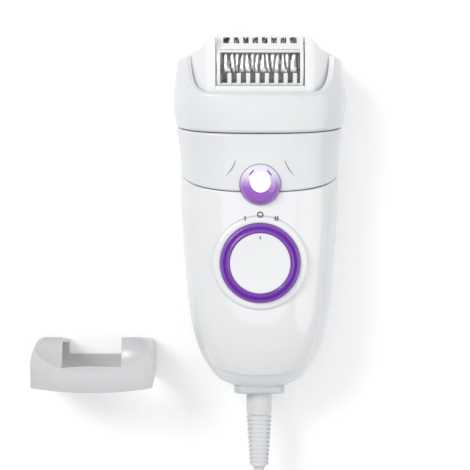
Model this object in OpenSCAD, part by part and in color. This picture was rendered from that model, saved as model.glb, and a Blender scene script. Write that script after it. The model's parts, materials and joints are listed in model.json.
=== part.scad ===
// Corded epilator lying on its back, with its cap beside it and its cord stored as a coil.
// +X is to the right of the front face, +Y runs towards the tweezer head, +Z is up from the rest face.

/* [Housing] */
// Wall thickness of the moulded shells
wall = 1.8; // [1.4:0.1:2.2]
// How far the collar stands proud of the grip at the front
collar_step = 1; // [0.6:0.1:1.4]
// Thickness of the glossy front panel
panel_t = 0.8; // [0.6:0.1:1]
// Gap that shows as a seam between two shells
seam_gap = 0.2; // [0.1:0.05:0.3]

/* [Dial] */
// Radius of the coloured dial ring
dial_r = 13.4; // [13:0.1:13.8]
// Radius of the white disc inside the ring
disc_r = 10.2; // [9.5:0.1:10.5]
// Radius of the raised boss around the dial
boss_r = 16; // [15.6:0.1:16.4]
// Distance of the dial centre from the origin, towards the cord
dial_drop = 14.8; // [14:0.1:15.5]

/* [Release button] */
// Radius of the domed release button
button_r = 6.85; // [6.5:0.05:7]
// Distance of the button centre from the origin, towards the head
button_y = 11.6; // [11:0.1:12]

/* [Tweezer roller] */
// Radius over the tips of the tweezer blades
tip_r = 10.6; // [10.2:0.1:10.8]
// Radius of the plastic core
core_r = 7.4; // [7:0.1:7.6]
// Blades along the roller in each row
blades_in_row = 7; // [5:2:7]
// Distance between blades along the roller
blade_pitch = 3.4; // [3.2:0.1:3.5]
// Slant of the fixed blades
blade_slant = 14; // [8:1:14]

/* [Cap] */
// Width of the cap
cap_w = 41.6; // [40:0.1:44]
// Length of the cap from its mouth to the top of its towers
cap_l = 19.4; // [18:0.1:20]
// Front to back depth of the cap
cap_d = 31; // [30:0.5:32]
// Width of the window between the two towers
cap_notch_w = 20.4; // [19:0.1:21]

/* [Hidden] */
$fn = 48;
running = 0.05;   // radial clearance of a shaft in its bush
axis_z = 19;      // height of the motor and of the roller above the rest face
mid_z = 17.5;     // height of the widest line of the housing
end_y = -59.6;    // end of the grip shells
roller_y = 50.6;
dial_y = -dial_drop;
bezel_seat = 35;  // height of the shoulder that the dial's bezel rests on
bezel_top = 37.4;
lens_y = 1;       // distance of the light from the middle of the button
power = 2.6;      // roundness of the housing's cross-section
spur_module = 0.5;
transfer_teeth = 18;
idler_teeth = 14;
roller_teeth = 18;
crown_teeth = 16;
pinion_teeth = 8;
gear_width = 2.2;
socket_z = 17;    // height of the cord's connector
gear_x = 15.4;    // side of the spur gears that faces the roller
idler_y = roller_y - spur_module * (idler_teeth + roller_teeth) / 2 - 0.1;
cross_y = idler_y - spur_module * (transfer_teeth + idler_teeth) / 2 - 0.1;
cord_d = 3.8;     // diameter of the cord
coil_r = 22;      // radius of the coil at the middle of its turns

// Housing stations: [y, half width, height of the front, height of the back before it is flattened]
STATIONS = [
  [-59.6, 9.3, 24.5, 9.5], [-57.4, 13.7, 27, 6.5], [-54.6, 16.4, 29.2, 4.2], [-49.3, 19.7, 31.8, 1.6],
  [-43, 22.2, 33.8, 0], [-34, 24.1, 35.3, -1.2], [-22, 25.3, 36, -1.8], [0, 26.8, 36.3, -2],
  [20, 27.3, 36.8, -2], [30, 28.4, 37.5, -2], [38, 29.6, 38, -2], [46, 28.9, 37.6, -2],
  [55, 27.7, 36.4, -1.8]];

// Route of the lead from the strain relief to the coil, and of the tail from the coil to the adapter
LEAD = [
  [0, -89, 17], [0, -94, 17], [0, -99, 16.6], [0.2, -104, 15.6], [0.7, -109, 13.9], [1.6, -114, 11.6],
  [3, -119, 9], [5, -124, 6.5], [7.5, -129, 4.4], [10.4, -134, 3], [13.5, -139, 2.2], [16.5, -144, 1.9],
  [19, -149, 1.9], [20.9, -154, 1.9], [21.8, -159, 2.2], [21.8, -163, 2.5]];
TAIL = [
  [-4, -188.8, 13.9], [-9, -189, 13.6], [-14, -189.8, 12.6], [-19, -190.8, 11], [-24, -191.6, 9],
  [-29, -192, 7], [-34, -192, 5.6], [-38, -192, 5], [-42, -192, 5]];
coil_x = -4;
coil_y = -163;
coil_z = 0.6;
coil_rows = 4;
coil_columns = 3;
adapter_y = -192;

// ---- Curves of the housing ----

// Slope of column k at station i
function slope(i, k) =
  let (a = max(i - 1, 0), b = min(i + 1, len(STATIONS) - 1))
  (STATIONS[b][k] - STATIONS[a][k]) / (STATIONS[b][0] - STATIONS[a][0]);

// Smooth value of column k at y, between stations i and i + 1
function between(y, i, k) =
  let (a = STATIONS[i], b = STATIONS[i + 1], step = b[0] - a[0], u = (y - a[0]) / step)
  a[k] * (1 + 2 * u) * (1 - u) ^ 2 + b[k] * u * u * (3 - 2 * u)
  + step * (slope(i, k) * u * (1 - u) ^ 2 - slope(i + 1, k) * u * u * (1 - u));

function segment_of(y, i = 0) =
  i >= len(STATIONS) - 2 || y < STATIONS[i + 1][0] ? i : segment_of(y, i + 1);

function housing(y, k) = between(y, segment_of(y), k);

function rounded(value) = sign(value) * pow(abs(value), 2 / power);

// Point of the housing at angle a and height y, moved outwards by out; lift adds to the front only
function skin(a, y, out = 0, lift = 0) =
  let (
    w = housing(y, 1) + out,
    top = housing(y, 2) + out + lift,
    bottom = housing(y, 3) - out,
    z = mid_z + rounded(sin(a)) * (a > 180 && a < 360 ? mid_z - bottom : top - mid_z))
  [w * rounded(cos(a)), y, max(z, -min(out, 0))];

// Lower and upper seams of the collar, and the scooped top edge of the head shell
function fade(a) = pow(abs(sin(a)), 0.8);
function lower_seam(a) = 15.6 - 6.4 * fade(a);
function upper_seam(a) = 30.4 - 1.9 * fade(a);
function scoop(a) =
  let (s = abs(sin(a)), v = max(2 * s - 1, 0))
  53 + 3 * min(s, 0.5) - 12.4 * (1 - pow(1 - v, 3.5));
function panel_low(a) = -54.4 + 5 * pow(abs(cos(a)), 2);

// Closed wall between angles a0 and a1: rows of points from low(a) to high(a), outside then inside
module shell_wall(a0, a1, columns, rows, low, high, out, thick, lift = 0) {
  full = a1 - a0 >= 360;
  n = full ? columns : columns + 1;
  grid = function(extra) [
    for (i = [0:rows], j = [0:n - 1])
      let (a = a0 + (a1 - a0) * j / columns, y = low(a) + (high(a) - low(a)) * i / rows)
      skin(a, y, extra, lift)];
  m = (rows + 1) * n;
  last = full ? n - 1 : n - 2;
  function at(i, j, side) = side * m + i * n + j % n;
  function quad(a, b, c, d) = [[a, b, c], [a, c, d]];
  outside = [for (i = [0:rows - 1], j = [0:last])
    each quad(at(i, j, 0), at(i + 1, j, 0), at(i + 1, j + 1, 0), at(i, j + 1, 0))];
  inside = [for (i = [0:rows - 1], j = [0:last])
    each quad(at(i, j, 1), at(i, j + 1, 1), at(i + 1, j + 1, 1), at(i + 1, j, 1))];
  ends = [for (j = [0:last])
    each concat(
      quad(at(0, j, 0), at(0, j + 1, 0), at(0, j + 1, 1), at(0, j, 1)),
      quad(at(rows, j, 0), at(rows, j, 1), at(rows, j + 1, 1), at(rows, j + 1, 0)))];
  sides = full ? [] : [for (i = [0:rows - 1])
    each concat(
      quad(at(i, 0, 0), at(i, 0, 1), at(i + 1, 0, 1), at(i + 1, 0, 0)),
      quad(at(i, n - 1, 0), at(i + 1, n - 1, 0), at(i + 1, n - 1, 1), at(i, n - 1, 1)))];
  polyhedron(concat(grid(out), grid(out - thick)), concat(outside, inside, ends, sides));
}

// Flat plate that fills the housing's cross-section between two heights
module plate(y0, y1, out, columns = 48) {
  outline = [for (j = [0:columns - 1]) let (p = skin(360 * j / columns, (y0 + y1) / 2, out)) [p[0], p[2]]];
  translate([0, y1, 0]) rotate([90, 0, 0]) linear_extrude(y1 - y0) polygon(outline);
}

// ---- Small shapes ----

// Cylinder along +Y
module rod_y(r, y0, y1, x = 0, z = axis_z) {
  translate([x, y1, z]) rotate([90, 0, 0]) cylinder(r = r, h = y1 - y0);
}

// Cylinder along +X
module rod_x(r, x0, x1, y = roller_y, z = axis_z) {
  translate([x0, y, z]) rotate([0, 90, 0]) cylinder(r = r, h = x1 - x0);
}

// Rectangular block given by its two corners
module block(low, high) {
  translate(low) cube(high - low);
}

// Flat gear blank with straight-sided teeth, lying in the XY plane
module gear(teeth, unit, thick) {
  r = unit * teeth / 2;
  step = 360 / teeth;
  outline = [for (i = [0:teeth - 1], p = [[-0.28, -1.1], [-0.1, 0.9], [0.1, 0.9], [0.28, -1.1]])
    let (a = step * (i + p[0]), q = r + unit * p[1])
    [q * cos(a), q * sin(a)]];
  linear_extrude(thick) polygon(outline);
}

// ---- Handle shells ----

// Places its children at the four screws that hold the housings together
module at_screws() {
  for (side = [-1, 1], p = [[11, -49, 28.2], [19.4, 4, 29.2]]) translate([side * p[0], p[1], 0]) {
    $post_top = p[2];
    children();
  }
}

// Takes away the seat of the dial's bezel and the hole of the release button
module front_openings() {
  translate([0, dial_y, 26]) cylinder(r = boss_r - 2, h = 20);
  translate([0, dial_y, bezel_seat - running]) cylinder(r = boss_r + running, h = 20);
  translate([0, button_y, 26]) cylinder(r = button_r + 0.6, h = 20);
}

module rear_housing() {
  color("white") difference() {
    shell_wall(180, 360, 24, 20, function(a) end_y, function(a) lower_seam(a) - seam_gap, 0, wall);
    at_screws() translate([0, 0, -1]) cylinder(r = 2.5, h = 8);
  }
}

module front_housing() {
  color("whitesmoke") difference() {
    shell_wall(0, 180, 24, 20, function(a) end_y, function(a) lower_seam(a) - seam_gap, 0, wall);
    front_openings();
  }
}

// Posts inside the front housing that the housing screws bite into
module screw_posts() {
  color("whitesmoke") at_screws() difference() {
    translate([0, 0, 9]) cylinder(r = 2.4, h = $post_top - 9);
    translate([0, 0, 8]) cylinder(r = 1.2, h = 9);
  }
}

module front_panel() {
  color("white") difference() {
    shell_wall(37, 143, 18, 18,
      function(a) panel_low(a), function(a) lower_seam(a) - seam_gap, panel_t + 0.05, panel_t);
    front_openings();
  }
}

module collar() {
  color("white") difference() {
    union() {
      shell_wall(0, 180, 24, 5, function(a) lower_seam(a), function(a) upper_seam(a), 0.01, wall - 0.4,
        collar_step);
      shell_wall(180, 360, 24, 5, function(a) lower_seam(a), function(a) upper_seam(a), 0.01, wall);
    }
    translate([0, button_y, 26]) cylinder(r = button_r + 0.6, h = 20);
  }
}

module collar_deck() {
  color("gainsboro") difference() {
    plate(25.4, 27, -wall - 0.3);
    rod_y(4.4, 20, 30);
    block([-5, 20, 27.6], [5, 30, 33.4]);
  }
}

module end_collar() {
  color("whitesmoke") difference() {
    union() {
      translate([0, -61.8, socket_z]) rotate([-90, 0, 0]) linear_extrude(2.1)
        offset(3) square([11.6, 9], center = true);
      translate([0, -63.1, socket_z]) rotate([-90, 0, 0]) linear_extrude(1.4)
        offset(2) square([11.2, 9], center = true);
    }
    rod_y(4.7, -64, -58, 0, socket_z);
  }
}

// ---- Dial and its seat ----

module dial_bezel() {
  color("white") translate([0, dial_y, 0]) rotate_extrude($fn = 96) polygon([
    [dial_r - 1.6, 33], [boss_r - 2.1, 33], [boss_r - 2.1, bezel_seat], [boss_r, bezel_seat],
    [boss_r, bezel_top - 0.5], [boss_r - 0.5, bezel_top], [dial_r + 0.25, bezel_top],
    [dial_r + 0.25, bezel_top - 1], [dial_r - 1.6, bezel_top - 1]]);
}

module dial_ring() {
  color("rebeccapurple") translate([0, dial_y, 0]) rotate_extrude($fn = 96) polygon([
    [disc_r + 0.1, 36.6], [dial_r, 36.6], [dial_r, 38.6], [dial_r - 0.6, 39.2], [12, 38.9], [11.4, 38.9],
    [disc_r + 0.7, 39.4], [disc_r + 0.1, 39.2]]);
}

module dial_disc() {
  color("white") translate([0, dial_y, 0]) difference() {
    rotate_extrude($fn = 96) polygon([
      [0, 36.6], [disc_r + 0.1, 36.6], [disc_r + 0.1, 38.6], [disc_r - 0.4, 38.9], [0, 38.3]]);
    translate([-0.2, 8.1, 38.2]) cube([0.4, 1.1, 2]);
  }
}

module dial_hub() {
  color("silver") translate([0, dial_y, 0]) {
    translate([0, 0, 34.8]) cylinder(r = dial_r - 1.6 - running, h = 1.8);
    translate([0, 0, 27.2]) cylinder(r = 4, h = 7.6);
    for (side = [-1, 1]) translate([side * 6.4 - 0.9, -1.2, 31]) cube([1.8, 2.4, 3.8]);
  }
}

module detent_spring() {
  color("silver") translate([0, dial_y - 7.4, 27.6]) {
    block([-6, -0.4, 0], [6, 0, 2.6]);
    block([-6, -0.4, -2.2], [-4.6, 0, 0]);
    block([4.6, -0.4, -2.2], [6, 0, 0]);
    translate([0, 0, 0]) cylinder(r = 0.8, h = 2.6);
  }
}

module rotary_switch() {
  color("dimgray") translate([0, dial_y, 0]) difference() {
    translate([-6.2, -6.2, 24.4]) cube([12.4, 12.4, 3.8]);
    translate([0, 0, 26.9]) cylinder(r = 4 + running, h = 4);
  }
}

module circuit_board() {
  color("seagreen") {
    block([-17, -46, 22.8], [17, -5.5, 24.4]);
    block([-12, -44, 18.8], [-5, -36, 22.8]);
    block([6, -42, 19.8], [12, -30, 22.8]);
    translate([-10, -28, 17.8]) cylinder(r = 3.2, h = 5);
    translate([9, -24, 17.8]) cylinder(r = 2.4, h = 5);
  }
}

// ---- Release button, light and latch ----

module release_button() {
  color("mediumpurple") translate([0, button_y, 0]) difference() {
    rotate_extrude($fn = 96) polygon(concat(
      [for (a = [0:6:84]) [button_r * cos(a), 37.6 + 4.2 * sin(a)]],
      [[0, 41.8], [0, 40.2]],
      [for (a = [84:-12:0]) [(button_r - 1.3) * cos(a), 37.2 + 3 * sin(a)]],
      [[button_r - 1.3, 33.6], [button_r, 33.6]]));
    translate([0, lens_y, 30]) cylinder(r = 3.3, h = 20);
  }
}

module light_window() {
  color("white") translate([0, button_y + lens_y, 0]) rotate_extrude($fn = 64) polygon([
    [0, 36.2], [3.25, 36.2], [3.25, 40.6], [2.6, 41.3], [1.4, 41.8], [0, 41.9]]);
}

module latch_arm() {
  color("gainsboro") {
    translate([0, button_y, 0]) difference() {
      translate([0, 0, 32]) cylinder(r = button_r - 1.35, h = 1.55);
      translate([0, 0, 31]) cylinder(r = 4.2, h = 4);
    }
    block([-3.4, button_y + 5.2, 31.6], [3.4, 27.6, 32.8]);
    block([-3.4, 26.8, 29.6], [3.4, 28.6, 31.6]);
  }
}

module button_spring() {
  color("silver") translate([0, button_y, 30.4]) difference() {
    cylinder(r = 4.9, h = 1.6);
    translate([0, 0, -1]) cylinder(r = 4.3, h = 4);
  }
}

module light_board() {
  color("seagreen") translate([0, button_y, 0]) {
    translate([0, 0, 29.4]) cylinder(r = 5.2, h = 1);
    block([-4, -16.4, 29.4], [4, -4, 30.4]);
    translate([0, 0, 30]) cylinder(r = 2.6, h = 1);
    translate([0, 0, 30]) cylinder(r = 1.9, h = 3.4);
  }
}

// ---- Motor ----

// Motor body between two heights, round with two flats
module flatted(r, flat, y0, y1) {
  intersection() {
    rod_y(r, y0, y1);
    block([-r - 1, y0 - 1, axis_z - flat], [r + 1, y1 + 1, axis_z + flat]);
  }
}

module motor_can() {
  color("silver") difference() {
    flatted(10, 8, -2, 20);
    flatted(9.2, 7.2, -3, 18.8);
    rod_y(1.6, 18, 21);
  }
}

module motor_end_bell() {
  color("ivory") difference() {
    union() {
      flatted(9.1, 7.1, -1.8, 0.4);
      rod_y(3, -4, -1.8);
      for (side = [-1, 1]) translate([side * 5.5, 0, axis_z]) block([-0.4, -5, -1.2], [0.4, -1.6, 1.2]);
    }
    rod_y(1 + running, -3, 1);
  }
}

module motor_shaft() {
  color("lightsteelblue") {
    rod_y(1, -2.8, 24.4);
    rod_y(6.4, 2.4, 16.6);
  }
}

// Cross-shaped dog on the end of the motor shaft
module drive_dog() {
  color("white") difference() {
    union() {
      rod_y(3, 21.8, 24.6);
      for (turn = [0, 90]) translate([0, 0, axis_z]) rotate([0, turn, 0])
        block([-2.2, 24.6, -0.6], [2.2, 29, 0.6]);
    }
    rod_y(1, 20, 24.4);
  }
}

module motor_mount() {
  color("dimgray") difference() {
    union() {
      block([-14, 20.1, axis_z - 11], [14, 21.7, axis_z + 9.6]);
      block([-15, -3, 6], [15, 21.7, 7.6]);
      for (side = [-1, 1]) block([side * 13.2 - 1, -3, 6], [side * 13.2 + 1, 20.2, 13]);
    }
    rod_y(4.5, 19, 23);
  }
}

// Lead routes from the socket pins to the board, and from the board to the motor
SOCKET_WIRE = [
  [2.2, -47.5, 15.6], [4, -45, 14], [6, -42, 14], [8, -38, 15.5], [9, -34, 17.5], [9.4, -33, 19]];
MOTOR_WIRE = [
  [5.5, -5.2, 19], [7, -8, 18.6], [9, -12, 18.8], [10.5, -16, 19.6], [11.5, -19, 20.6], [12, -20.4, 22]];

module motor_leads() {
  color("crimson") for (route = [SOCKET_WIRE, MOTOR_WIRE]) {
    sweep(route, 0.6, 6);
    mirror([1, 0, 0]) sweep(route, 0.6, 6);
  }
}

module housing_screws() {
  color("silver") at_screws() {
    translate([0, 0, 6]) cylinder(r = 2.3, h = 1.6);
    translate([0, 0, 6]) cylinder(r = 1.2, h = 10.8);
  }
}

// ---- Cord socket ----

module cord_socket() {
  color("dimgray") difference() {
    union() {
      rod_y(6.2, -57.6, -49, 0, socket_z);
      block([-6.6, -51, socket_z - 5.6], [6.6, -49, socket_z + 5.6]);
    }
    rod_y(4.5, -59, -50.6, 0, socket_z);
    for (side = [-1, 1]) rod_y(0.75, -51, -48, side * 1.9, socket_z);
  }
}

module socket_pins() {
  color("silver") for (side = [-1, 1]) rod_y(0.7, -57, -47.6, side * 1.9, socket_z);
}

// ---- Head housing ----

module head_shell() {
  color("white") shell_wall(0, 360, 72, 8,
    function(a) upper_seam(a) + 0.25, function(a) scoop(a), 0, wall);
}

// Places its children at the four screws that hold the cartridge to the base of the head
module at_head_screws() {
  for (x = [-20.6, 20.6], z = [12.4, 25.6]) translate([x, 0, z]) rotate([-90, 0, 0]) children();
}

module head_base() {
  color("gainsboro") difference() {
    union() {
      plate(27.6, 28.9, -wall - 0.35);
      rod_y(4.3, 27.6, 29.2);
      block([-5, 27.6, 30.2], [5, 30.4, 33.2]);
      at_head_screws() translate([0, 0, 28]) cylinder(r = 2.3, h = 3);
    }
    rod_y(3.2 + running, 27, 33);
    block([-3.6, 27, 27.8], [3.6, 29.2, 34]);
    at_head_screws() translate([0, 0, 27]) cylinder(r = 1.8, h = 2);
    at_head_screws() translate([0, 0, 27]) cylinder(r = 0.95, h = 6);
  }
}

// Side box of the tweezer cartridge with its sloping shoulder
WING = [
  [15, 31], [23.4, 31], [23.4, 38], [25.2, 43], [25.2, 54.4],
  [20.2, 56.8], [17.3, 60.6], [16.6, 61], [15, 61]];

module wing(gear_side) {
  difference() {
    intersection() {
      translate([0, 0, 6.4]) linear_extrude(25.2) polygon(WING);
      plate(30, 62, -wall - 1.2);
    }
    block([14.9, gear_side ? 29 : 46, 10.2], [18.2, 59, 27.8]);
    block([14.9, 48, 23], [19.1, 53, 27.8]);
    rod_x(2.35, 18, 22);
    rod_x(1, 18, 22, idler_y);
    rod_x(1 + running, 14, 24, cross_y);
    translate([17, roller_y, 22]) cylinder(r = 0.8, h = 8.2);
    at_head_screws() translate([0, 0, 30]) cylinder(r = 0.9, h = 8.2);
  }
}

module head_frame() {
  color("whitesmoke") {
    wing(true);
    mirror([1, 0, 0]) wing(false);
    block([-15.1, 31, 6.4], [15.1, 36.2, 10]);
    block([-15.1, 31, 28], [15.1, 36.2, 31.6]);
    block([-15.1, 42.3, 6.4], [15.1, 44.5, 8.1]);
    block([-15.1, 42.3, 29.9], [15.1, 44.5, 31.6]);
  }
}

// Floor of the recess around the cartridge, with the trough below the roller
module head_tray() {
  color("white") {
    difference() {
      plate(40.2, 41.7, -wall - 0.15);
      block([-25.5, 39, 6.2], [25.5, 50, 31.8]);
    }
    for (back = [0, 1]) translate([0, 0, axis_z]) mirror([0, 0, back])
      comb_arc(0, 29.2, 11.4, 0.8, -72, -34);
  }
}

// Curved bar about the roller axis, from angle a0 to a1 above the front direction
module comb_arc(x, width, r, thick, a0, a1) {
  translate([x - width / 2, roller_y, 0]) rotate([0, 90, 0]) rotate([0, 0, 180 - a1])
    rotate_extrude(angle = a1 - a0, $fn = 96) translate([r, 0]) square([thick, width]);
}

module comb_frame() {
  tooth_step = 3.15;
  lower_shift = 0.7;
  color("white") for (back = [0, 1]) translate([0, 0, axis_z]) mirror([0, 0, back]) {
    for (side = [-1, 1]) {
      comb_arc(side * 14, 1.2, 11.2, 1.3, -31, 61);
      comb_arc(side * 13.1, 1.4, 11.4, 0.8, 40, 60);
    }
    comb_arc(0, 28.2, 11.3, 1, 25, 41.5);
    comb_arc(0, 28.2, 11.3, 1, -30, -26.5);
    for (i = [-3:3]) comb_arc(i * tooth_step, 1.3, 11.4, 0.8, 40, 60);
    for (i = [-3.5:3.5]) comb_arc(lower_shift + i * tooth_step, 1.4, 11.4, 1.1, -29, -9);
  }
}

module roller_bushes() {
  color("goldenrod") for (side = [-1, 1]) difference() {
    rod_x(2.35, min(side * 18.3, side * 21), max(side * 18.3, side * 21));
    rod_x(1.2 + running, -22, 22);
  }
}

module head_screws() {
  color("silver") at_head_screws() {
    translate([0, 0, 27.7]) cylinder(r = 1.7, h = 1.3);
    translate([0, 0, 28]) cylinder(r = 0.9, h = 10);
  }
}

// Pins of the two pressure wheels and of the idler gear
module gear_pins() {
  color("silver") {
    for (side = [-1, 1]) translate([side * 17, roller_y, 24.2]) cylinder(r = 0.8, h = 6);
    rod_x(1, 15.2, 21, idler_y);
  }
}

// ---- Drive in the head ----

module input_shaft() {
  color("ivory") difference() {
    union() {
      rod_y(3.2, 26.4, 29.4);
      rod_y(1.6, 29.4, 32);
      translate([0, 31.7, axis_z]) rotate([90, 0, 0]) rotate(180 / pinion_teeth)
        gear(pinion_teeth, spur_module, gear_width);
    }
    for (turn = [0, 90]) translate([0, 0, axis_z]) rotate([0, turn, 0])
      block([-2.5, 26, -0.9], [2.5, 29.3, 0.9]);
  }
}

module cross_shaft() {
  color("silver") rod_x(1, -20, 21, cross_y);
}

// Face gear: a disc whose teeth point towards the pinion
module crown_gear() {
  color("ivory") difference() {
    union() {
      rod_x(5, 2.7, 4.1, cross_y);
      rod_x(2.2, 2.7, 6, cross_y);
      for (i = [0:crown_teeth - 1]) translate([0, cross_y, axis_z]) rotate([360 * i / crown_teeth, 0, 0])
        block([1.8, -4.9, -0.19], [2.9, -3.1, 0.19]);
    }
    rod_x(1, 2, 8, cross_y);
  }
}

module transfer_gear() {
  color("ivory") difference() {
    translate([gear_x, cross_y, axis_z]) rotate([0, 90, 0]) gear(transfer_teeth, spur_module, gear_width);
    rod_x(1, 15, 18, cross_y);
  }
}

module idler_gear() {
  color("ivory") difference() {
    translate([gear_x, idler_y, axis_z]) rotate([0, 90, 0]) rotate(180 / idler_teeth)
      gear(idler_teeth, spur_module, gear_width);
    rod_x(1 + running, 15, 18, idler_y);
  }
}

module roller_gear() {
  color("ivory") difference() {
    translate([gear_x, roller_y, axis_z]) rotate([0, 90, 0]) gear(roller_teeth, spur_module, gear_width);
    rod_x(1.2, 15, 18);
  }
}

// ---- Tweezer roller ----

first_row = 15;   // angle of the first row of blades above the front direction
rows_of_blades = 4;
rod_radius = 6.4;
half_count = (blades_in_row - 1) / 2;
fixed_offset = 0.85;
moving_offset = 0.9;

// Direction in which the rod of row k closes its blades: +1 for rods pushed from the left
function closing_side(k) = k % 2 == 0 ? 1 : -1;

// Places its children on row k, with local +Z pointing outwards and local +X along the roller
module on_row(k) {
  translate([0, roller_y, axis_z]) rotate([-first_row - 360 * k / rows_of_blades, 0, 0]) children();
}

module roller_core() {
  color("white") difference() {
    rod_x(core_r, -13, 13);
    rod_x(1.2, -14, 14);
    for (k = [0:rows_of_blades - 1]) on_row(k) block([-14, -0.9, rod_radius - 0.9], [14, 0.9, core_r + 1]);
  }
}

module roller_shaft() {
  color("silver") rod_x(1.2, -20.6, 20.8);
}

// The fixed blades stand on the core and leave a slot for the rods; each row faces its own moving blades
module fixed_blades() {
  color("silver") for (k = [0:rows_of_blades - 1], i = [-half_count:half_count]) on_row(k)
    translate([i * blade_pitch + closing_side(k) * fixed_offset, 0, 0])
      rotate([0, 0, (i + k) % 2 == 0 ? blade_slant : -blade_slant]) {
        block([-0.25, -3.5, core_r + 0.4], [0.25, 3.5, tip_r - 0.5]);
        for (side = [0, 1]) mirror([0, side, 0]) block([-0.25, 1.3, core_r - 0.5], [0.25, 3.5, core_r + 1]);
      }
}

// Rods and moving blades of one row; the rod stands out at the end where it is pushed
module moving_row(k) {
  side = closing_side(k);
  on_row(k) {
    translate([-side * 1.3, 0, rod_radius]) block([-13.7, -0.75, -0.6], [13.7, 0.75, 0.7]);
    for (i = [-half_count:half_count]) translate([i * blade_pitch - side * moving_offset, 0, 0]) {
      block([-0.25, -3.2, core_r + 0.15], [0.25, 3.2, tip_r - 0.5]);
      block([-0.25, -0.75, rod_radius], [0.25, 0.75, core_r + 0.5]);
    }
  }
}

module left_blades() {
  color("lightgray") for (k = [0, 2]) moving_row(k);
}

module right_blades() {
  color("lightgray") for (k = [1, 3]) moving_row(k);
}

module pressure_wheel() {
  translate([17, roller_y, axis_z + rod_radius - 1]) difference() {
    cylinder(r = 1.75, h = 2);
    translate([0, 0, -1]) cylinder(r = 0.8 + running, h = 4);
  }
}

module left_pressure_wheel() {
  color("orange") mirror([1, 0, 0]) pressure_wheel();
}

module right_pressure_wheel() {
  color("orange") pressure_wheel();
}

// ---- Cord set ----

// Tube swept along a route, one ring of points at each route point
module sweep(route, r, sides) {
  n = len(route);
  rings = [for (i = [0:n - 1])
    let (
      ahead = route[min(i + 1, n - 1)] - route[max(i - 1, 0)],
      t = ahead / norm(ahead),
      flat = cross(t, [0, 0, 1]),
      u = flat / norm(flat),
      v = cross(u, t))
    for (j = [0:sides - 1])
      let (a = 360 * (j + 0.5) / sides)
      route[i] + r * (cos(a) * u + sin(a) * v)];
  walls = [for (i = [0:n - 2], j = [0:sides - 1])
    let (k = (j + 1) % sides)
    each [
      [i * sides + j, i * sides + k, (i + 1) * sides + k],
      [i * sides + j, (i + 1) * sides + k, (i + 1) * sides + j]]];
  caps = [[for (j = [sides - 1:-1:0]) j], [for (j = [0:sides - 1]) (n - 1) * sides + j]];
  polyhedron(rings, concat(walls, caps));
}

module connector_body() {
  color("gainsboro") difference() {
    union() {
      rod_y(4.4, -63.3, -52, 0, socket_z);
      rod_y(4.6, -70, -63.3, 0, socket_z);
    }
    for (side = [-1, 1]) rod_y(1.1, -62, -51, side * 1.9, socket_z);
  }
}

module connector_contacts() {
  color("gold") for (side = [-1, 1]) difference() {
    rod_y(1.1, -62, -52.4, side * 1.9, socket_z);
    rod_y(0.7 + running, -60, -51, side * 1.9, socket_z);
  }
}

// Strain reliefs at both ends of the cord: ribbed at the connector, a plain cone at the adapter
module strain_reliefs() {
  ribs = 12;
  rib_step = 1.5;
  color("gainsboro") {
    translate([-42, adapter_y, 5]) rotate([0, -90, 0]) cylinder(r1 = 2.6, r2 = 3.6, h = 8);
    translate([0, -70, socket_z]) rotate([90, 0, 0]) cylinder(r1 = 3.9, r2 = 2.6, h = 19);
    for (i = [0:ribs - 1]) {
      y = -70.9 - i * rib_step;
      rod_y(4.4 - i * 0.095, y - 0.9, y, 0, socket_z);
    }
  }
}

module cord_lead() {
  color("gainsboro") sweep(LEAD, cord_d / 2, 8);
}

module cord_tail() {
  color("gainsboro") sweep(TAIL, cord_d / 2, 8);
}

module cord_coil() {
  half = coil_columns * cord_d / 2;
  high = coil_rows * cord_d;
  color("gainsboro") translate([coil_x, coil_y, coil_z]) rotate_extrude($fn = 72)
    translate([coil_r, 0]) polygon([
      [1 - half, 0], [half - 1, 0], [half, 1], [half, high - 1],
      [half - 1, high], [1 - half, high], [-half, high - 1], [-half, 1]]);
}

module cord_tie() {
  inner = coil_r - coil_columns * cord_d / 2 - 0.6;
  outer = coil_r + coil_columns * cord_d / 2 + 0.1;
  high = coil_z + coil_rows * cord_d + 0.05;
  color("dimgray") translate([coil_x, coil_y, 0]) difference() {
    block([-outer - 0.6, -4, 0], [-inner + 0.6, 4, high + 0.6]);
    block([-outer, -5, 0.55], [-inner, 5, high]);
  }
}

module adapter_body() {
  color("white") difference() {
    hull() for (x = [-78, -53], y = [-12, 12], z = [3, 22])
      translate([x, adapter_y + y, z]) rotate([0, 90, 0]) cylinder(r = 3, h = 3, $fn = 32);
    block([-77, adapter_y - 12, 3], [-53, adapter_y + 12, 22]);
  }
}

module adapter_cover() {
  color("whitesmoke") difference() {
    hull() for (y = [-11, 11], z = [4, 21])
      translate([-80, adapter_y + y, z]) rotate([0, 90, 0]) cylinder(r = 3, h = 2, $fn = 32);
    for (side = [-1, 1]) rod_x(1.6, -82, -77, adapter_y + side * 9, 12.5);
  }
}

module plug_pins() {
  color("silver") for (side = [-1, 1]) {
    rod_x(2, -97, -80.1, adapter_y + side * 9, 12.5);
    rod_x(1.5, -80.1, -78, adapter_y + side * 9, 12.5);
  }
}

// ---- Cap ----

cap_x = -57.6;
cap_y0 = -60.3;

// Outline seen from the front: mouth edge bowed downwards, straight sides, rounded towers
module cap_outline(inset) {
  w = cap_w / 2 - inset;
  top = cap_l - inset;
  mouth = [for (i = [1:8]) [w * i / 8, 1.7 * pow(i / 8, 2)]];
  tower = [[w, top - 9], [w - 0.6, top - 5.6], [w - 2.3, top - 1.8], [w - 5.2, top - 0.1], [w - 7.4, top]];
  half = concat(mouth, tower);
  polygon(concat(half, [for (i = [len(half) - 1:-1:0]) [-half[i][0], half[i][1]]], [[0, 0]]));
}

// Hollow on the front of the cap around its window; grow makes it larger on all sides
module cap_scoop(grow) {
  translate([0, 16.5, cap_d + 6]) scale([23.1 + grow, 11.2 + grow, 11 + grow]) sphere(1, $fn = 72);
}

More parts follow.
